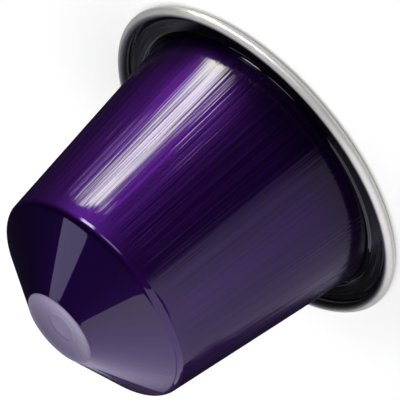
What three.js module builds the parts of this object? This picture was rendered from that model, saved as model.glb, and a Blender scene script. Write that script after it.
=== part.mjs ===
import * as THREE from 'three';

// Coffee pod: a drawn aluminium cup with a rolled rim, a foil lid sealed across its mouth and
// a soft sealing ring on the flange. The cup is sealed and full, so it is one closed solid.
// Millimetres, +Z up. The pod stands on its lid with the nose up, and the origin is the
// centre of the lid's outer face.

// Rim and flange
const rimDiameter = 37;          // over the rolled bead
const beadThickness = 1.14;      // across the bead itself
const beadLift = 0.03;           // how far the bead stays above the lid's outer face
const lipAngle = 142;            // where the rolled sheet's cut edge ends, degrees round the bead
const lipSlope = 4;              // degrees over which the surface steps down behind that edge
const lipStep = 0.06;            // depth of that step
const flangeThickness = 0.15;

// Wall and shoulder
const footDiameter = 30;         // the wall's cone, carried down to the lid's outer face
const wallTaper = 7.9;           // degrees between the wall and the axis
const footFillet = 0.4;
const shoulderHeight = 23.6;     // where the wall and the nose cone would meet
const shoulderFillet = 0.9;

// Nose
const noseHeight = 28.1;
const noseDiameter = 8.5;        // over the raised edge of the nose
const noseStep = 0.35;           // height of that edge above the nose cone
const noseDraft = 0.05;          // how much narrower the edge is at its top
const noseFootFillet = 0.25;
const noseEdgeFillet = 0.2;
const dishRadius = 23;           // of the hollow in the nose, seen from the side
const dishFlatDiameter = 2.4;    // flat at the bottom of the hollow

// Lid
const lidDiameter = 34.8;
const lidThickness = 0.1;

// Sealing ring
const sealInnerDiameter = 30.8;
const sealOuterDiameter = 34.1;
const sealHeight = 0.25;
const sealEdgeFillet = 0.1;
const sealGrooves = 2;
const sealGrooveDepth = 0.04;

// Facets
const roundSegments = 72;        // round the axis, the same for every piece
const facetError = 0.005;        // how far the flats of an outline may stay inside its curves

const flangeTop = lidThickness + flangeThickness;

const lacquer = new THREE.MeshStandardMaterial({ color: '#3b1a63', roughness: 0.28, metalness: 0.9 });
const foil = new THREE.MeshStandardMaterial({ color: '#d2d2cf', roughness: 0.32, metalness: 1 });
const elastomer = new THREE.MeshStandardMaterial({ color: '#16161d', roughness: 0.4, metalness: 0 });

const radians = THREE.MathUtils.degToRad;
const degrees = THREE.MathUtils.radToDeg;
const point = (radius, height) => new THREE.Vector2(radius, height);

// Points round an arc, both ends included. Angles run from the outward direction towards +Z.
function arc(centre, radius, from, to) {
  const widestStep = 2 * Math.acos(1 - facetError / radius);
  const steps = Math.ceil(Math.abs(radians(to - from)) / widestStep);
  const points = [];
  for (let i = 0; i <= steps; i++) {
    const angle = radians(from + (to - from) * i / steps);
    points.push(point(centre.x + radius * Math.cos(angle), centre.y + radius * Math.sin(angle)));
  }
  return points;
}

// A rounded corner that touches the lines corner-before and corner-after.
function roundedCorner(before, corner, after, radius) {
  const toBefore = before.clone().sub(corner).normalize();
  const toAfter = after.clone().sub(corner).normalize();
  const halfAngle = Math.acos(toBefore.dot(toAfter)) / 2;
  const middle = toBefore.clone().add(toAfter).normalize();
  const centre = corner.clone().addScaledVector(middle, radius / Math.sin(halfAngle));
  const reach = radius / Math.tan(halfAngle);
  const start = corner.clone().addScaledVector(toBefore, reach).sub(centre);
  const end = corner.clone().addScaledVector(toAfter, reach).sub(centre);
  const from = degrees(start.angle());
  const turn = degrees(Math.atan2(start.cross(end), start.dot(end)));
  return arc(centre, radius, from, from + turn);
}

// Turns an outline of (radius, height) points about the axis, with the axis along +Z.
function turned(name, outline, material) {
  const geometry = new THREE.LatheGeometry(outline, roundSegments);
  geometry.rotateX(Math.PI / 2);
  const mesh = new THREE.Mesh(geometry, material);
  mesh.name = name;
  return mesh;
}

// The angle on a circle at which it crosses a height, on the side towards the axis.
function innerCrossing(centreHeight, radius, height) {
  return 180 - degrees(Math.asin((height - centreHeight) / radius));
}

// The bead is rolled from the flange's edge: out from below, over the top and down to the cut
// edge, where the outline steps back to the bead's inner turn.
function rimOutline() {
  const beadRadius = beadThickness / 2;
  const centre = point(rimDiameter / 2 - beadRadius, beadLift + beadRadius);
  const underside = innerCrossing(centre.y, beadRadius, lidThickness) - 360;
  const innerRadius = beadRadius - lipStep;
  const flange = innerCrossing(centre.y, innerRadius, flangeTop);
  return [
    ...arc(centre, beadRadius, underside, 0),
    ...arc(centre, beadRadius, 0, lipAngle).slice(1),
    ...arc(centre, innerRadius, lipAngle + lipSlope, flange),
  ];
}

function wallRadius(height) {
  return footDiameter / 2 - height * Math.tan(radians(wallTaper));
}

// The nose ends in a low raised edge round a shallow dished face with a flat in its middle.
function noseOutline(shoulder) {
  const foot = point(noseDiameter / 2, noseHeight - noseStep);
  const edge = point(noseDiameter / 2 - noseDraft, noseHeight);
  const dishEdge = edge.x - noseEdgeFillet;
  const edgeAngle = Math.asin(dishEdge / dishRadius);
  const flatAngle = Math.asin(dishFlatDiameter / 2 / dishRadius);
  const dishCentre = point(0, noseHeight + dishRadius * Math.cos(edgeAngle));
  return [
    ...roundedCorner(shoulder, foot, edge, noseFootFillet),
    ...roundedCorner(foot, edge, point(0, noseHeight), noseEdgeFillet),
    ...arc(dishCentre, dishRadius, degrees(edgeAngle) - 90, degrees(flatAngle) - 90).slice(1),
  ];
}

function cup() {
  const foot = point(wallRadius(flangeTop), flangeTop);
  const shoulder = point(wallRadius(shoulderHeight), shoulderHeight);
  const noseFoot = point(noseDiameter / 2, noseHeight - noseStep);
  const rim = rimOutline();
  const nose = noseOutline(shoulder);
  const outline = [
    point(0, lidThickness),
    ...rim,
    ...roundedCorner(rim[rim.length - 1], foot, shoulder, footFillet),
    ...roundedCorner(foot, shoulder, noseFoot, shoulderFillet),
    ...nose,
    point(0, nose[nose.length - 1].y),
  ];
  return turned('cup', outline, lacquer);
}

function lidFoil() {
  const outline = [
    point(0, 0),
    point(lidDiameter / 2, 0),
    point(lidDiameter / 2, lidThickness),
    point(0, lidThickness),
  ];
  return turned('lid_foil', outline, foil);
}

// The ring's face carries shallow round grooves, and its edges are eased.
function sealRing() {
  const inner = sealInnerDiameter / 2;
  const outer = sealOuterDiameter / 2;
  const top = flangeTop + sealHeight;
  const pitch = (outer - inner) / (sealGrooves + 1);
  const grooveHalfWidth = pitch / 4;
  const face = [];
  for (let i = sealGrooves; i >= 1; i--) {
    const groove = inner + pitch * i;
    face.push(point(groove + grooveHalfWidth, top));
    face.push(point(groove, top - sealGrooveDepth));
    face.push(point(groove - grooveHalfWidth, top));
  }
  const outline = [
    point(inner, flangeTop),
    point(outer, flangeTop),
    ...roundedCorner(point(outer, flangeTop), point(outer, top), point(inner, top), sealEdgeFillet),
    ...face,
    ...roundedCorner(point(outer, top), point(inner, top), point(inner, flangeTop), sealEdgeFillet),
    point(inner, flangeTop),
  ];
  return turned('seal_ring', outline, elastomer);
}

const pod = new THREE.Group();
pod.add(cup(), lidFoil(), sealRing());

export default pod;
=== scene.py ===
from math import acos, asin, atan2, ceil, cos, degrees, pi, radians, sin, tan

import bpy
from mathutils import Matrix, Vector


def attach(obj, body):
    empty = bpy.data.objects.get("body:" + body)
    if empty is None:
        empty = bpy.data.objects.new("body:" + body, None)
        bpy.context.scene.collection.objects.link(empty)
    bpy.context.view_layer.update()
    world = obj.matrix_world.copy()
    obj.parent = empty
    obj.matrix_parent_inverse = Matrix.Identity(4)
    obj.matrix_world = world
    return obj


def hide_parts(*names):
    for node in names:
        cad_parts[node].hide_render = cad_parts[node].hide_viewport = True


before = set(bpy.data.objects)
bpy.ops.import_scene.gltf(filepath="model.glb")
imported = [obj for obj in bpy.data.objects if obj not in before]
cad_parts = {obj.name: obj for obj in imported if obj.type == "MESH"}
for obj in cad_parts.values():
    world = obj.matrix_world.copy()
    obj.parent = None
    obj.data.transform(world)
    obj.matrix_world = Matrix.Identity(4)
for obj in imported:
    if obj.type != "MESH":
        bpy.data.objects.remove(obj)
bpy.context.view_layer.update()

mm = 0.001
print("frame loaded:", ", ".join(sorted(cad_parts)))


# Outlines are (radius, height) in mm, as in the part's source but with finer facets.

def arc(centre, radius, start, end, facetError=0.0007):
    # angles run from the outward direction towards +Z, both ends are included
    widestStep = 2 * acos(1 - facetError / radius)
    steps = max(2, ceil(abs(radians(end - start)) / widestStep))
    angles = [radians(start + (end - start) * i / steps) for i in range(steps + 1)]
    return [centre + radius * Vector((cos(a), sin(a))) for a in angles]


def roundedCorner(before, corner, after, radius):
    toBefore = (before - corner).normalized()
    toAfter = (after - corner).normalized()
    halfAngle = acos(toBefore.dot(toAfter)) / 2
    middle = (toBefore + toAfter).normalized()
    centre = corner + middle * radius / sin(halfAngle)
    reach = radius / tan(halfAngle)
    start = corner + toBefore * reach - centre
    end = corner + toAfter * reach - centre
    turn = degrees(atan2(start.x * end.y - start.y * end.x, start.dot(end)))
    first = degrees(atan2(start.y, start.x))
    return arc(centre, radius, first, first + turn)


def withSteps(points, longest):
    # splits the long straight runs, so that the draw lines have rows to work with
    out = [points[0]]
    for a, b in zip(points, points[1:]):
        parts = max(1, ceil((b - a).length / longest))
        out += [a.lerp(b, i / parts) for i in range(1, parts + 1)]
    return out


# One node tree turns an outline about the axis and draws shallow lines up its wall.

def mathNode(tree, operation, a, b=0.0):
    node = tree.nodes.new("ShaderNodeMath")
    node.operation = operation
    for socket, value in zip(node.inputs, (a, b)):
        if isinstance(value, (int, float)):
            socket.default_value = value
        else:
            tree.links.new(value, socket)
    return node.outputs[0]


def turnedTree():
    tree = bpy.data.node_groups.new("turned piece", "GeometryNodeTree")
    tree.is_modifier = True
    named = {"Outline": "Geometry", "Segments": "Int", "Line Depth": "Float", "Lines Round": "Float",
             "Line Stretch": "Float", "Lowest Line": "Float", "Highest Line": "Float", "Line Fade": "Float",
             "Seed": "Float", "Finish": "Material"}
    identifiers = {}
    for label, kind in named.items():
        socket = tree.interface.new_socket(label, in_out="INPUT", socket_type="NodeSocket" + kind)
        identifiers[label] = socket.identifier
    tree.interface.new_socket("Geometry", in_out="OUTPUT", socket_type="NodeSocketGeometry")
    make = tree.nodes.new
    link = tree.links.new
    given = make("NodeGroupInput").outputs
    result = make("NodeGroupOutput")

    def sums(operation, a, b=0.0):
        return mathNode(tree, operation, a, b)

    def wholeNumbers(operation, a, b):
        node = make("FunctionNodeIntegerMath")
        node.operation = operation
        link(a, node.inputs[0])
        if isinstance(b, int):
            node.inputs[1].default_value = b
        else:
            link(b, node.inputs[1])
        return node.outputs[0]

    # a grid with one row for each outline point and one column for each segment
    count = make("GeometryNodeAttributeDomainSize")
    link(given["Outline"], count.inputs["Geometry"])
    rows = count.outputs["Point Count"]
    grid = make("GeometryNodeMeshGrid")
    link(wholeNumbers("ADD", given["Segments"], 1), grid.inputs["Vertices X"])
    link(rows, grid.inputs["Vertices Y"])
    index = make("GeometryNodeInputIndex").outputs[0]
    row = wholeNumbers("MODULO", index, rows)
    column = wholeNumbers("DIVIDE_FLOOR", index, rows)
    picked = make("GeometryNodeSampleIndex")
    picked.data_type = "FLOAT_VECTOR"
    link(given["Outline"], picked.inputs["Geometry"])
    link(make("GeometryNodeInputPosition").outputs[0], picked.inputs["Value"])
    link(row, picked.inputs["Index"])
    parts = make("ShaderNodeSeparateXYZ")
    link(picked.outputs["Value"], parts.inputs[0])
    radius, height = parts.outputs["X"], parts.outputs["Z"]
    angle = sums("MULTIPLY", sums("DIVIDE", column, given["Segments"]), 2 * pi)
    across, forward = sums("COSINE", angle), sums("SINE", angle)

    # draw lines: noise on a ring, stretched up the wall, faded out at both ends of it
    ring = make("ShaderNodeCombineXYZ")
    link(sums("MULTIPLY", across, given["Lines Round"]), ring.inputs[0])
    link(sums("MULTIPLY", forward, given["Lines Round"]), ring.inputs[1])
    link(sums("MULTIPLY", height, given["Line Stretch"]), ring.inputs[2])
    noise = make("ShaderNodeTexNoise")
    noise.noise_dimensions = "4D"
    noise.inputs["Scale"].default_value = 1
    noise.inputs["Detail"].default_value = 2
    link(ring.outputs[0], noise.inputs["Vector"])
    link(given["Seed"], noise.inputs["W"])
    relief = sums("MULTIPLY", sums("SUBTRACT", noise.outputs[0], 0.5), given["Line Depth"])
    for end, way in (("Lowest Line", "ADD"), ("Highest Line", "SUBTRACT")):
        fade = make("ShaderNodeMapRange")
        fade.interpolation_type = "SMOOTHSTEP"
        link(height, fade.inputs["Value"])
        link(given[end], fade.inputs["From Min"])
        link(sums(way, given[end], given["Line Fade"]), fade.inputs["From Max"])
        relief = sums("MULTIPLY", relief, fade.outputs["Result"])
    turnedRadius = sums("ADD", radius, relief)
    turned = make("ShaderNodeCombineXYZ")
    link(sums("MULTIPLY", turnedRadius, across), turned.inputs[0])
    link(sums("MULTIPLY", turnedRadius, forward), turned.inputs[1])
    link(height, turned.inputs[2])
    moved = make("GeometryNodeSetPosition")
    link(grid.outputs["Mesh"], moved.inputs["Geometry"])
    link(turned.outputs[0], moved.inputs["Position"])

    # close the seam and the poles, keep real edges crisp
    merged = make("GeometryNodeMergeByDistance")
    merged.inputs["Distance"].default_value = 1e-7
    link(moved.outputs[0], merged.inputs["Geometry"])
    smooth = make("GeometryNodeSetShadeSmooth")
    smooth.domain = "FACE"
    link(merged.outputs[0], smooth.inputs["Geometry"])
    edgeAngle = make("GeometryNodeInputMeshEdgeAngle").outputs["Unsigned Angle"]
    crisp = make("GeometryNodeSetShadeSmooth")
    crisp.domain = "EDGE"
    link(smooth.outputs[0], crisp.inputs["Geometry"])
    link(sums("LESS_THAN", edgeAngle, radians(35)), crisp.inputs["Shade Smooth"])
    real = make("GeometryNodeRealizeInstances")
    link(crisp.outputs[0], real.inputs[0])
    coated = make("GeometryNodeSetMaterial")
    link(real.outputs[0], coated.inputs["Geometry"])
    link(given["Finish"], coated.inputs["Material"])
    link(coated.outputs[0], result.inputs[0])
    return tree, identifiers


turning, turningInputs = turnedTree()


def turnedPiece(name, outline, finish, segments, lines=None):
    profile = bpy.data.meshes.new(name + " outline")
    corners = [(p.x * mm, 0, p.y * mm) for p in outline]
    profile.from_pydata(corners, [(i, i + 1) for i in range(len(corners) - 1)], [])
    piece = bpy.data.objects.new(name, profile)
    bpy.context.scene.collection.objects.link(piece)
    modifier = piece.modifiers.new("turned", "NODES")
    modifier.node_group = turning
    values = {"Segments": segments, "Finish": finish, "Seed": 3.0}
    values.update(lines or {})
    for label, value in values.items():
        modifier[turningInputs[label]] = value
    graph = bpy.context.evaluated_depsgraph_get()
    mesh = bpy.data.meshes.new_from_object(piece.evaluated_get(graph), depsgraph=graph)
    piece.modifiers.clear()
    piece.data = mesh
    mesh.name = name
    triangles = sum(len(face.vertices) - 2 for face in mesh.polygons)
    print(f"{name}: {len(corners)} outline points, {triangles} triangles")
    return piece


# What the finishes share. Patterns read the distance from the axis, the height and the unit
# ring round the axis, so they have no seam.

noiseRange = (0.3, 0.7)            # most of a noise lies in here


def newFinish(name):
    finish = bpy.data.materials.new(name)
    finish.use_nodes = True
    return finish, finish.node_tree.nodes["Principled BSDF"]


def vectorNode(tree, operation, a, scale=None):
    node = tree.nodes.new("ShaderNodeVectorMath")
    node.operation = operation
    tree.links.new(a, node.inputs[0])
    if isinstance(scale, float):
        node.inputs["Scale"].default_value = scale
    elif scale is not None:
        tree.links.new(scale, node.inputs["Scale"])
    return node


def fadeNode(tree, value, start, end, low=0.0, high=1.0):
    node = tree.nodes.new("ShaderNodeMapRange")
    node.interpolation_type = "SMOOTHSTEP"
    tree.links.new(value, node.inputs["Value"])
    node.inputs["From Min"].default_value = start
    node.inputs["From Max"].default_value = end
    node.inputs["To Min"].default_value = low
    node.inputs["To Max"].default_value = high
    return node.outputs["Result"]


def fadeInMm(tree, value, start, end, low=0.0, high=1.0):
    return fadeNode(tree, value, start * mm, end * mm, low, high)


def roundCoordinates(tree):
    place = tree.nodes.new("ShaderNodeTexCoord")
    parts = tree.nodes.new("ShaderNodeSeparateXYZ")
    tree.links.new(place.outputs["Object"], parts.inputs[0])
    flat = tree.nodes.new("ShaderNodeCombineXYZ")
    tree.links.new(parts.outputs["X"], flat.inputs["X"])
    tree.links.new(parts.outputs["Y"], flat.inputs["Y"])
    ring = vectorNode(tree, "NORMALIZE", flat.outputs[0]).outputs[0]
    reach = vectorNode(tree, "LENGTH", flat.outputs[0]).outputs["Value"]
    return ring, reach, parts.outputs["Z"]


def lineNoise(tree, ring, along, pattern):
    # pattern: how fine it is round the axis, how fine along the other way, detail and seed
    fineness, stretch, detail, seed = pattern
    tall = tree.nodes.new("ShaderNodeCombineXYZ")
    tree.links.new(mathNode(tree, "MULTIPLY", along, stretch), tall.inputs["Z"])
    both = vectorNode(tree, "ADD", vectorNode(tree, "SCALE", ring, fineness).outputs[0])
    tree.links.new(tall.outputs[0], both.inputs[1])
    noise = tree.nodes.new("ShaderNodeTexNoise")
    noise.noise_dimensions = "4D"
    noise.inputs["Scale"].default_value = 1
    noise.inputs["Detail"].default_value = detail
    noise.inputs["W"].default_value = seed
    tree.links.new(both.outputs[0], noise.inputs["Vector"])
    return noise.outputs[0]


def colourRamp(tree, value, stops):
    ramp = tree.nodes.new("ShaderNodeValToRGB")
    first, last = ramp.color_ramp.elements[0], ramp.color_ramp.elements[-1]
    first.position, last.position = stops[0][0], stops[-1][0]
    first.color = (*stops[0][1], 1)
    last.color = (*stops[-1][1], 1)
    for position, colour in stops[1:-1]:
        ramp.color_ramp.elements.new(position).color = (*colour, 1)
    tree.links.new(value, ramp.inputs[0])
    return ramp.outputs[0]


def colourMix(tree, blend, factor, a, b):
    mix = tree.nodes.new("ShaderNodeMix")
    mix.data_type = "RGBA"
    mix.blend_type = blend
    for socket, value in ((mix.inputs[0], factor), (mix.inputs[6], a), (mix.inputs[7], b)):
        if isinstance(value, (float, tuple)):
            socket.default_value = value
        else:
            tree.links.new(value, socket)
    return mix.outputs[2]


def bumpNode(tree, height, depth, strength=None, under=None):
    # depth in mm
    bump = tree.nodes.new("ShaderNodeBump")
    bump.inputs["Distance"].default_value = depth * mm
    tree.links.new(height, bump.inputs["Height"])
    if strength is not None:
        tree.links.new(strength, bump.inputs["Strength"])
    if under is not None:
        tree.links.new(under, bump.inputs["Normal"])
    return bump.outputs[0]


# The cup: drawn and lacquered sheet, from the flange under the ring to the nose. Sizes are in
# mm. A fade is where it starts and ends, and then the value at each of them.

podCup = {
    "lidThickness": 0.1,
    "flangeTop": 0.25,
    "flangeReach": 17.557,
    "footDiameter": 30.0,
    "wallTaper": 7.9,              # degrees
    "footFillet": 0.4,
    "shoulderHeight": 23.6,
    "shoulderFillet": 1.1,
    "noseHeight": 28.1,
    "noseDiameter": 8.9,
    "noseStep": 0.17,
    "noseDraft": 0.25,
    "noseFootFillet": 0.35,
    "noseEdgeFillet": 0.25,
    "dishRadius": 23.0,
    "dishFlat": 3.9,
    "dishStep": 0.05,              # the flat in the middle lies a little lower
    "dishStepWidth": 0.55,
    "dishStepRows": 8,
    "longestRow": 1.0,
    "segments": 540,
    "drawLines": {
        "Line Depth": 0.03 * mm,
        "Lines Round": 11.0,
        "Line Stretch": 45.0,
        "Lowest Line": 0.8 * mm,
        "Highest Line": 22.3 * mm,
        "Line Fade": 3.0 * mm,
    },
    "purples": [(0.3, (0.018, 0.0026, 0.053)), (0.7, (0.050, 0.0074, 0.132))],
    "flangePaintedShadow": (0.004, 0.003, 0.006, 1),
    "flangeShadowFade": (0.35, 0.85),    # painted shadow: the sheet is painted near black below this, where the ring and the bead shade it
    # painted shade: darker towards the foot and on the nose
    "footShade": (0.5, 7.0, 0.35, 1.0),
    "noseShade": (23.4, 24.2, 1.0, 0.8),
    "roughness": (0.41, 0.53),
    "drawnStretch": 0.45,          # anisotropy round the wall
    "coatRoughness": 0.03,
    "coatIor": 1.5,
    "coarseLines": (38.0, 24, 1.5, 1.0),
    "coarseDepth": 0.066,
    "fineLines": (84.0, 50, 2.0, 2.0),
    "fineDepth": 0.022,
    "hairLines": (30.0, 15, 1.0, 9.0),
    "hairDepth": 0.006,
    "hairWidth": 0.035,            # in the noise's own values
    "patches": (4.5, 90, 1.0, 6.0),
    "patchFade": (0.35, 0.62, 0.3, 1.0),
    "linesFrom": (0.5, 1.3),
    "linesTo": (23.1, 20.6),
}


def wallRadius(height):
    return podCup["footDiameter"] / 2 - height * tan(radians(podCup["wallTaper"]))


def cupOutline():
    size = podCup
    foot = Vector((wallRadius(size["flangeTop"]), size["flangeTop"]))
    shoulder = Vector((wallRadius(size["shoulderHeight"]), size["shoulderHeight"]))
    noseFoot = Vector((size["noseDiameter"] / 2, size["noseHeight"] - size["noseStep"]))
    noseEdge = Vector((size["noseDiameter"] / 2 - size["noseDraft"], size["noseHeight"]))
    noseTop = Vector((0, size["noseHeight"]))
    flangeEdge = Vector((size["flangeReach"], size["flangeTop"]))
    dishEdge = noseEdge.x - size["noseEdgeFillet"]
    edgeAngle = asin(dishEdge / size["dishRadius"])
    flatAngle = asin(size["dishFlat"] / 2 / size["dishRadius"])
    dishCentre = Vector((0, size["noseHeight"] + size["dishRadius"] * cos(edgeAngle)))
    outline = [Vector((0, size["lidThickness"])), Vector((size["flangeReach"], size["lidThickness"]))]
    outline.append(flangeEdge)
    outline += roundedCorner(flangeEdge, foot, shoulder, size["footFillet"])
    outline += roundedCorner(foot, shoulder, noseFoot, size["shoulderFillet"])
    outline += roundedCorner(shoulder, noseFoot, noseEdge, size["noseFootFillet"])
    outline += roundedCorner(noseFoot, noseEdge, noseTop, size["noseEdgeFillet"])
    outline += arc(dishCentre, size["dishRadius"], degrees(edgeAngle) - 90, degrees(flatAngle) - 90)[1:]
    inner = outline[-1]
    for i in range(1, size["dishStepRows"] + 1):
        part = i / size["dishStepRows"]
        drop = size["dishStep"] * (3 * part ** 2 - 2 * part ** 3)
        outline.append(Vector((inner.x - size["dishStepWidth"] * part, inner.y - drop)))
    outline.append(Vector((0, outline[-1].y)))
    return withSteps(outline, size["longestRow"])


def purpleLacquer():
    look = podCup
    finish, shader = newFinish("purple lacquer")
    tree = finish.node_tree
    ring, reach, height = roundCoordinates(tree)
    coarse = lineNoise(tree, ring, height, look["coarseLines"])
    fine = lineNoise(tree, ring, height, look["fineLines"])
    hairs = lineNoise(tree, ring, height, look["hairLines"])
    hairs = mathNode(tree, "ABSOLUTE", mathNode(tree, "SUBTRACT", hairs, 0.5))
    hairs = fadeNode(tree, hairs, 0.0, look["hairWidth"])
    patches = fadeNode(tree, lineNoise(tree, ring, height, look["patches"]), *look["patchFade"])
    onWall = mathNode(tree, "MULTIPLY", fadeInMm(tree, height, *look["linesFrom"]),
                      fadeInMm(tree, height, *look["linesTo"]))

    # streaks on the wall alone, the nose keeps one even tone
    streak = mathNode(tree, "MULTIPLY", mathNode(tree, "SUBTRACT", coarse, 0.5), onWall)
    tint = colourRamp(tree, mathNode(tree, "ADD", streak, 0.5), look["purples"])
    # painted shadow: the flange and the wall's foot go near black low down, in the shaded gaps by the ring
    # and the bead
    unshadowed = fadeInMm(tree, height, *look["flangeShadowFade"])
    tint = colourMix(tree, "MIX", unshadowed, look["flangePaintedShadow"], tint)

    # painted shade: the lacquer is painted darker towards the foot, for the black ring's reflection and the
    # shade by the flange, and darker on the nose, for the dark reflection there
    paintedShade = mathNode(tree, "MULTIPLY", fadeInMm(tree, height, *look["footShade"]),
                     fadeInMm(tree, height, *look["noseShade"]))
    tint = vectorNode(tree, "SCALE", tint, paintedShade).outputs["Vector"]
    tree.links.new(tint, shader.inputs["Base Color"])
    tree.links.new(fadeNode(tree, fine, *noiseRange, *look["roughness"]), shader.inputs["Roughness"])

    strength = mathNode(tree, "MULTIPLY", onWall, patches)
    relief = bumpNode(tree, coarse, look["coarseDepth"], strength)
    relief = bumpNode(tree, fine, look["fineDepth"], strength, relief)
    relief = bumpNode(tree, hairs, look["hairDepth"], strength, relief)
    tree.links.new(relief, shader.inputs["Normal"])
    tree.links.new(relief, shader.inputs["Coat Normal"])
    tangent = tree.nodes.new("ShaderNodeTangent")
    tangent.direction_type = "RADIAL"
    tangent.axis = "Z"
    tree.links.new(tangent.outputs[0], shader.inputs["Tangent"])
    shader.inputs["Metallic"].default_value = 1.0
    shader.inputs["Anisotropic"].default_value = look["drawnStretch"]
    shader.inputs["Coat Weight"].default_value = 1.0
    shader.inputs["Coat Roughness"].default_value = look["coatRoughness"]
    shader.inputs["Coat IOR"].default_value = look["coatIor"]
    return finish


cup = turnedPiece("lacquered_cup", cupOutline(), purpleLacquer(), podCup["segments"], podCup["drawLines"])
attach(cup, "root")
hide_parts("cup")


# The rim: the flange's edge rolled into a bead, bare satin metal.

podRim = {
    "outerDiameter": 37.0,
    "beadThickness": 1.14,
    "beadLift": 0.03,
    "lipAngle": 142.0,             # where the cut edge ends, degrees round the bead
    "lipSlope": 4.0,
    "lipStep": 0.06,
    "segments": 540,
    "metals": [(0.3, (0.72, 0.72, 0.68)), (0.65, (0.81, 0.81, 0.745))],
    # painted shade on the bead: dark on its turned-in side, full tone on its outer side
    "paintedBeadShade": [(0.0, (0.03, 0.03, 0.035)), (0.45, (0.22, 0.23, 0.25)), (1.0, (1, 1, 1))],
    "unshadedFrom": (17.6, 18.2),      # distances from the axis
    "unshadedBelow": (0.75, 0.55),
    "underShade": (0.12, 0.62, 0.4, 1.0),
    "rolledLines": (9.0, 9000, 3.0, 4.0),
    "grain": (160.0, 7000, 2.0, 5.0),
    "grainDepth": 0.002,
    "metallic": 0.55,
    "roughness": (0.40, 0.52),
}


def satinAluminium():
    look = podRim
    finish, shader = newFinish("satin aluminium")
    tree = finish.node_tree
    ring, reach, height = roundCoordinates(tree)
    rolled = lineNoise(tree, ring, height, look["rolledLines"])
    grain = lineNoise(tree, ring, height, look["grain"])

    # painted shade: the turned-in side of the bead is painted dark, and the outer side is painted darker
    # where it turns under towards the floor
    unshadedBead = mathNode(tree, "MAXIMUM", fadeInMm(tree, reach, *look["unshadedFrom"]),
                    fadeInMm(tree, height, *look["unshadedBelow"]))
    tint = colourRamp(tree, rolled, look["metals"])
    tint = colourMix(tree, "MULTIPLY", 1.0, tint, colourRamp(tree, unshadedBead, look["paintedBeadShade"]))
    # painted shade along the bead's underside, darker towards the floor
    under = fadeInMm(tree, height, *look["underShade"])
    tint = vectorNode(tree, "SCALE", tint, under).outputs["Vector"]
    tree.links.new(tint, shader.inputs["Base Color"])
    tree.links.new(fadeNode(tree, grain, *noiseRange, *look["roughness"]), shader.inputs["Roughness"])
    tree.links.new(bumpNode(tree, grain, look["grainDepth"]), shader.inputs["Normal"])
    shader.inputs["Metallic"].default_value = look["metallic"]
    return finish


def rimOutline():
    size = podRim
    beadRadius = size["beadThickness"] / 2
    innerRadius = beadRadius - size["lipStep"]
    centre = Vector((size["outerDiameter"] / 2 - beadRadius, size["beadLift"] + beadRadius))
    underside = -180 - degrees(asin((podCup["lidThickness"] - centre.y) / beadRadius))
    flange = 180 - degrees(asin((podCup["flangeTop"] - centre.y) / innerRadius))
    inner = arc(centre, innerRadius, size["lipAngle"] + size["lipSlope"], flange)
    outline = [Vector((inner[-1].x, podCup["lidThickness"]))]
    outline += arc(centre, beadRadius, underside, 0)
    outline += arc(centre, beadRadius, 0, size["lipAngle"])[1:]
    outline += inner
    outline.append(outline[0].copy())
    return outline


rim = turnedPiece("rolled_rim", rimOutline(), satinAluminium(), podRim["segments"])
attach(rim, "root")
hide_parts("cup")


# The sealing ring: soft black compound laid on the flange, with fine round lines.

podSeal = {
    "innerDiameter": 30.8,
    "outerDiameter": 34.1,
    "height": 0.25,
    "edgeFillet": 0.1,
    "lines": 7,
    "lineDepth": 0.004,
    "segments": 360,
    "blacks": [(0.35, (0.0008, 0.0008, 0.0015)), (0.7, (0.0025, 0.0025, 0.0035))],
    "bands": (3.0, 5200, 3.0, 7.0),
    "bandDepth": 0.002,
    "roughness": (0.15, 0.30),
    "ior": 1.5,
}


def blackCompound():
    look = podSeal
    finish, shader = newFinish("black sealing compound")
    tree = finish.node_tree
    ring, reach, height = roundCoordinates(tree)
    bands = lineNoise(tree, ring, reach, look["bands"])
    tree.links.new(colourRamp(tree, bands, look["blacks"]), shader.inputs["Base Color"])
    tree.links.new(fadeNode(tree, bands, *noiseRange, *look["roughness"]), shader.inputs["Roughness"])
    tree.links.new(bumpNode(tree, bands, look["bandDepth"]), shader.inputs["Normal"])
    shader.inputs["IOR"].default_value = look["ior"]
    return finish


def sealOutline():
    size = podSeal
    inner, outer = size["innerDiameter"] / 2, size["outerDiameter"] / 2
    low = podCup["flangeTop"]
    top = low + size["height"]
    pitch = (outer - inner) / (size["lines"] + 1)
    halfLine = pitch / 4
    corners = [Vector(p) for p in ((inner, low), (outer, low), (outer, top), (inner, top))]
    outline = corners[:2]
    outline += roundedCorner(corners[1], corners[2], corners[3], size["edgeFillet"])
    for i in range(size["lines"], 0, -1):
        line = inner + pitch * i
        outline += [Vector((line + halfLine, top)), Vector((line, top - size["lineDepth"])),
                    Vector((line - halfLine, top))]
    outline += roundedCorner(corners[2], corners[3], corners[0], size["edgeFillet"])
    outline.append(corners[0].copy())
    return outline


seal = turnedPiece("sealing_ring", sealOutline(), blackCompound(), podSeal["segments"])
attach(seal, "root")
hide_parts("seal_ring")


# The lid: the frame's own foil disc, with a rolled finish.

podLid = {
    "foils": [(0.3, (0.72, 0.715, 0.70)), (0.7, (0.84, 0.835, 0.82))],
    "grainScale": (60, 2600, 60),
    "grainDetail": 4,
    "grainDepth": 0.002,
    "roughness": (0.26, 0.36),
    "metallic": 0.9,
}


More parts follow.
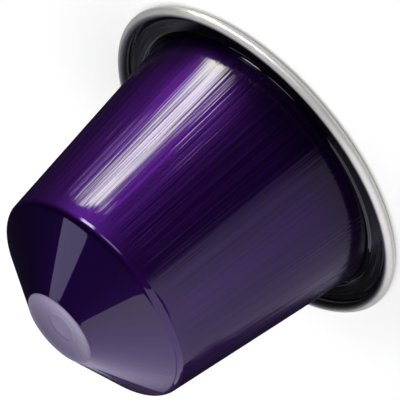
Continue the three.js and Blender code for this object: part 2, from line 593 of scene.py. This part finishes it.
def rolledFoil():
    look = podLid
    finish, shader = newFinish("rolled foil")
    tree = finish.node_tree
    place = tree.nodes.new("ShaderNodeTexCoord")
    stretch = tree.nodes.new("ShaderNodeMapping")
    stretch.inputs["Scale"].default_value = look["grainScale"]
    tree.links.new(place.outputs["Object"], stretch.inputs["Vector"])
    noise = tree.nodes.new("ShaderNodeTexNoise")
    noise.inputs["Scale"].default_value = 1
    noise.inputs["Detail"].default_value = look["grainDetail"]
    tree.links.new(stretch.outputs[0], noise.inputs["Vector"])
    grain = noise.outputs[0]
    tree.links.new(colourRamp(tree, grain, look["foils"]), shader.inputs["Base Color"])
    tree.links.new(fadeNode(tree, grain, *noiseRange, *look["roughness"]), shader.inputs["Roughness"])
    tree.links.new(bumpNode(tree, grain, look["grainDepth"]), shader.inputs["Normal"])
    shader.inputs["Metallic"].default_value = look["metallic"]
    return finish


foil = rolledFoil()
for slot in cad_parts["lid_foil"].material_slots:
    slot.material = foil
print("finishes made")


# The studio: a pale floor, soft lamps, and cards and a dark tent that only the gloss sees.

studio = {
    "floorHalf": 6.0,              # this, the glow's reach and the lamps are in metres, the rest in mm
    "floorColour": (0.82, 0.82, 0.82),
    "floorGlow": (0.2, 0.9, 0.30, 0.62),    # further out the lamps reach the floor less
    "skyLight": 0.55,
    "keyPower": 2.6,
    "fillPower": 1.56,
    "lampSize": 0.7,
    "matInner": 19.2,
    "matOuter": 640,
    "matHeight": 0.05,
    "matSides": 96,
    "tentRadius": 600,
    "tentFoot": -4,                # degrees
    "tentRings": 16,
    "tentSides": 48,
    "tentColour": (0.8, 0.85, 1),
    "tentLevel": 0.010,
    "cardCentre": (0, 0, 25),
    "cardSteps": 16,
    "cardTint": (0.98, 0.94, 1.10),
    "rimClear": 19.3,              # a card on the floor stays outside this radius
    "stripLight": 15.0,
    "stripTint": (1, 1.04, 0.84),
    "floorCardLight": 0.38,
    "floorCardFar": 0.85,
    "backCardLow": 1.75,
    "backCardHigh": 1.12,
    "backCardTint": (1.0, 0.93, 1.2),
    "narrowCardLight": 1.25,
    "narrowCardTint": (1.05, 0.95, 1.6),
    "sideCardLight": 1.1,
    "glowCardLight": 3.5,
    "shoulderLight": 14.0,
}


def emission(name, colour, strength):
    finish = bpy.data.materials.new(name)
    finish.use_nodes = True
    tree = finish.node_tree
    tree.nodes.clear()
    out = tree.nodes.new("ShaderNodeOutputMaterial")
    glow = tree.nodes.new("ShaderNodeEmission")
    glow.inputs["Color"].default_value = (*colour, 1)
    glow.inputs["Strength"].default_value = strength
    tree.links.new(glow.outputs[0], out.inputs["Surface"])
    return finish, glow, out


def gridFaces(rows, columns, closed=False):
    # quads between rows of points, and closed joins each row to itself
    faces = []
    for j in range(rows - 1):
        for i in range(columns if closed else columns - 1):
            n = (i + 1) % columns
            faces.append((j * columns + i, j * columns + n, (j + 1) * columns + n, (j + 1) * columns + i))
    return faces


def glossOnly(name, verts, faces, finish):
    mesh = bpy.data.meshes.new(name)
    mesh.from_pydata(verts, [], faces)
    mesh.materials.append(finish)
    obj = bpy.data.objects.new(name, mesh)
    bpy.context.scene.collection.objects.link(obj)
    obj.visible_camera = False
    obj.visible_diffuse = False
    obj.visible_shadow = False
    obj.visible_transmission = False
    return mesh


def makeCard(name, corners, light, lightFar=None, softU=(0, 0), softV=(0, 0), colour=(1, 1, 1), bulge=None,
             clear=None, reach=1.0):
    # corners: near left, near right, far right, far left; v runs from near to far
    a, b, c, d = (Vector(p) * mm for p in corners)
    centre = Vector(studio["cardCentre"]) * mm
    steps = studio["cardSteps"]
    verts, uvs = [], []
    for j in range(steps + 1):
        v = j / steps
        for i in range(steps + 1):
            u = i / steps
            point = a.lerp(b, u).lerp(d.lerp(c, u), v)
            if bulge:
                point = centre + (point - centre).normalized() * bulge * mm
            if clear:
                point = Vector((*(point.xy * max(1, clear * mm / point.xy.length)), point.z))
            verts.append(point)
            uvs.append((u, v))
    finish, glow, out = emission(name, colour, light)
    mesh = glossOnly(name, verts, gridFaces(steps + 1, steps + 1), finish)
    layer = mesh.uv_layers.new(name="card")
    for loop in mesh.loops:
        layer.data[loop.index].uv = uvs[loop.vertex_index]
    tree = finish.node_tree
    place = tree.nodes.new("ShaderNodeTexCoord")
    parts = tree.nodes.new("ShaderNodeSeparateXYZ")
    tree.links.new(place.outputs["UV"], parts.inputs[0])
    u, v = parts.outputs["X"], parts.outputs["Y"]
    level = fadeNode(tree, v, 0, reach, light, light if lightFar is None else lightFar)
    for value, soft in ((u, softU), (v, softV)):
        if soft[0]:
            level = mathNode(tree, "MULTIPLY", level, fadeNode(tree, value, 0, soft[0]))
        if soft[1]:
            level = mathNode(tree, "MULTIPLY", level, fadeNode(tree, value, 1, 1 - soft[1]))
    tree.links.new(level, glow.inputs["Strength"])


def directionPoint(azimuth, elevation, distance):
    # azimuth 0 is towards -Y, the camera's side, and 90 is towards +X
    a, e = radians(azimuth), radians(elevation)
    return Vector(studio["cardCentre"]) + distance * Vector((sin(a) * cos(e), -cos(a) * cos(e), sin(e)))


def makePatch(name, azimuths, elevations, distance, light, softU=(0, 0), softV=(0, 0), tint=None):
    left, right = azimuths
    low, high = elevations
    sides = [(left, low), (right, low), (right, high), (left, high)]
    makeCard(name, [directionPoint(a, e, distance) for a, e in sides], light, softU=softU, softV=softV,
             colour=tint or studio["cardTint"], bulge=distance)


def seenNode(tree):
    # 1 for what the camera, a gloss or a clear piece sees, 0 for light on the object
    rays = tree.nodes.new("ShaderNodeLightPath").outputs
    seen = mathNode(tree, "ADD", rays["Is Camera Ray"], rays["Is Glossy Ray"])
    seen = mathNode(tree, "ADD", seen, rays["Is Transmission Ray"])
    return mathNode(tree, "MINIMUM", seen, 1.0)


def makeFloor():
    half = studio["floorHalf"]
    corners = [(-half, -half, 0), (half, -half, 0), (half, half, 0), (-half, half, 0)]
    mesh = bpy.data.meshes.new("floor")
    mesh.from_pydata(corners, [], [(0, 1, 2, 3)])
    floor = bpy.data.objects.new("floor", mesh)
    bpy.context.scene.collection.objects.link(floor)
    finish, glow, out = emission("floor", (1, 1, 1), 1)
    tree = finish.node_tree
    ring, reach, height = roundCoordinates(tree)
    level = fadeNode(tree, reach, *studio["floorGlow"])
    tree.links.new(mathNode(tree, "MULTIPLY", seenNode(tree), level), glow.inputs["Strength"])
    matt = tree.nodes.new("ShaderNodeBsdfDiffuse")
    matt.inputs["Color"].default_value = (*studio["floorColour"], 1)
    both = tree.nodes.new("ShaderNodeAddShader")
    tree.links.new(matt.outputs[0], both.inputs[0])
    tree.links.new(glow.outputs[0], both.inputs[1])
    tree.links.new(both.outputs[0], out.inputs["Surface"])
    mesh.materials.append(finish)


def makeWorld():
    world = bpy.data.worlds.new("studio")
    bpy.context.scene.world = world
    world.use_nodes = True
    tree = world.node_tree
    sky = tree.nodes["Background"]
    sky.inputs["Color"].default_value = (1, 1, 1, 1)
    level = tree.nodes.new("ShaderNodeMapRange")
    tree.links.new(seenNode(tree), level.inputs["Value"])
    level.inputs["To Min"].default_value = studio["skyLight"]
    level.inputs["To Max"].default_value = 1.0
    tree.links.new(level.outputs["Result"], sky.inputs["Strength"])


def makeLamp(name, place, power):
    lamp = bpy.data.lights.new(name, "AREA")
    lamp.energy = power
    lamp.size = studio["lampSize"]
    obj = bpy.data.objects.new(name, lamp)
    bpy.context.scene.collection.objects.link(obj)
    obj.location = Vector(place)
    obj.rotation_euler = (-obj.location).to_track_quat("-Z", "Y").to_euler()
    obj.visible_glossy = False


def makeMat():
    sides = studio["matSides"]
    verts = []
    for radius in (studio["matOuter"] * mm, studio["matInner"] * mm):
        for i in range(sides):
            a = 2 * pi * i / sides
            verts.append((radius * cos(a), radius * sin(a), studio["matHeight"] * mm))
    finish = emission("dark mat", studio["tentColour"], studio["tentLevel"])[0]
    glossOnly("dark mat", verts, gridFaces(2, sides, closed=True), finish)


def makeTent():
    rings, sides, foot = studio["tentRings"], studio["tentSides"], studio["tentFoot"]
    radius = studio["tentRadius"] * mm
    verts = []
    for j in range(rings + 1):
        e = radians(foot + (90 - foot) * j / rings)
        for i in range(sides):
            a = 2 * pi * i / sides
            verts.append((radius * cos(e) * cos(a), radius * cos(e) * sin(a), radius * sin(e)))
    finish = emission("dark tent", studio["tentColour"], studio["tentLevel"])[0]
    glossOnly("dark tent", verts, gridFaces(rings + 1, sides, closed=True), finish)


makeFloor()
makeWorld()
makeMat()
makeTent()
makeLamp("key lamp", (-0.35, -0.35, 0.75), studio["keyPower"])
makeLamp("fill lamp", (0.45, 0.10, 0.60), studio["fillPower"])

# cards on the floor: the bright band and the grey reflection on the wall
makeCard("strip card", [(13.2, -14.6, 0.4), (17.2, -9.6, 0.4), (112, -23, 0.4), (102, -66, 0.4)],
         studio["stripLight"], softU=(0.35, 0.35), colour=studio["stripTint"], clear=studio["rimClear"])
makeCard("floor card", [(-5, -23, 0.5), (-22, 9.5, 0.5), (-215, 100, 0.5), (-62, -240, 0.5)],
         studio["floorCardLight"], studio["floorCardFar"], softU=(0.22, 0), colour=studio["cardTint"],
         clear=studio["rimClear"])

# standing cards: the nose cone's wedges and the nose disc
backCorner = Vector((-10, 91, 1))
upLeft = 320 * Vector((-0.742, -0.196, 0.64))
upRight = 90 * Vector((0.45, 0.03, 0.89))
makeCard("back card", [backCorner, backCorner + upLeft, backCorner + upLeft + upRight, backCorner + upRight],
         studio["backCardLow"], studio["backCardHigh"], softV=(0.2, 0), colour=studio["backCardTint"],
         reach=0.22)
makePatch("high card", (-176, -90), (34, 74), 560, studio["backCardHigh"])
makePatch("narrow card", (112, 152), (48.5, 65.5), 300, studio["narrowCardLight"],
          tint=studio["narrowCardTint"])

# the rest of the wall, the glow beside the band and the light on the shoulder
makePatch("side card", (-142, -26), (-8, 48), 210, studio["sideCardLight"])
makePatch("glow card", (12, 42), (3, 18), 150, studio["glowCardLight"], softU=(0.3, 0.3), softV=(0.3, 0.3))
makePatch("shoulder card", (45, 65), (-7, 13), 150, studio["shoulderLight"], softU=(0.3, 0.3))
makeCard("ring flag", [(-12, 20, 3), (-60, 20, 3), (-60, 32, 27), (-12, 32, 27)], studio["tentLevel"])
print("studio made")


# The camera has the photograph's own view, rolled with it.

photoView = {
    "elevation": 25.38,            # degrees over the lid's plane
    "roll": 139.45,                # where the nose points in the picture
    "distance": 420.0,
    "offset": (5.77, -4.18),       # of the origin in the picture, mm to the right and down
    "pixelsPerMm": 10.12,
    "pictureWidth": 400,
    "sensorWidth": 36,
    "clip": (0.01, 50),            # metres
}


def makeCamera():
    view = photoView
    beta, rho = radians(view["elevation"]), radians(view["roll"])
    axis = Vector((cos(beta) * cos(rho), -cos(beta) * sin(rho), sin(beta)))
    side = (Vector((0, 0, 1)) - sin(beta) * axis).normalized()
    forward = -side
    turn = Matrix((forward.cross(axis), forward, axis))
    across, down = view["offset"]
    place = -(turn @ Vector((across, -down, -view["distance"]))) * mm
    data = bpy.data.cameras.new("camera")
    camera = bpy.data.objects.new("camera", data)
    bpy.context.scene.collection.objects.link(camera)
    data.sensor_width = view["sensorWidth"]
    data.lens = view["pixelsPerMm"] * view["distance"] / view["pictureWidth"] * view["sensorWidth"]
    data.clip_start, data.clip_end = view["clip"]
    camera.matrix_world = Matrix.Translation(place) @ turn.to_4x4()
    bpy.context.scene.camera = camera


makeCamera()
bpy.context.scene.view_settings.view_transform = "Standard"
print("camera made")
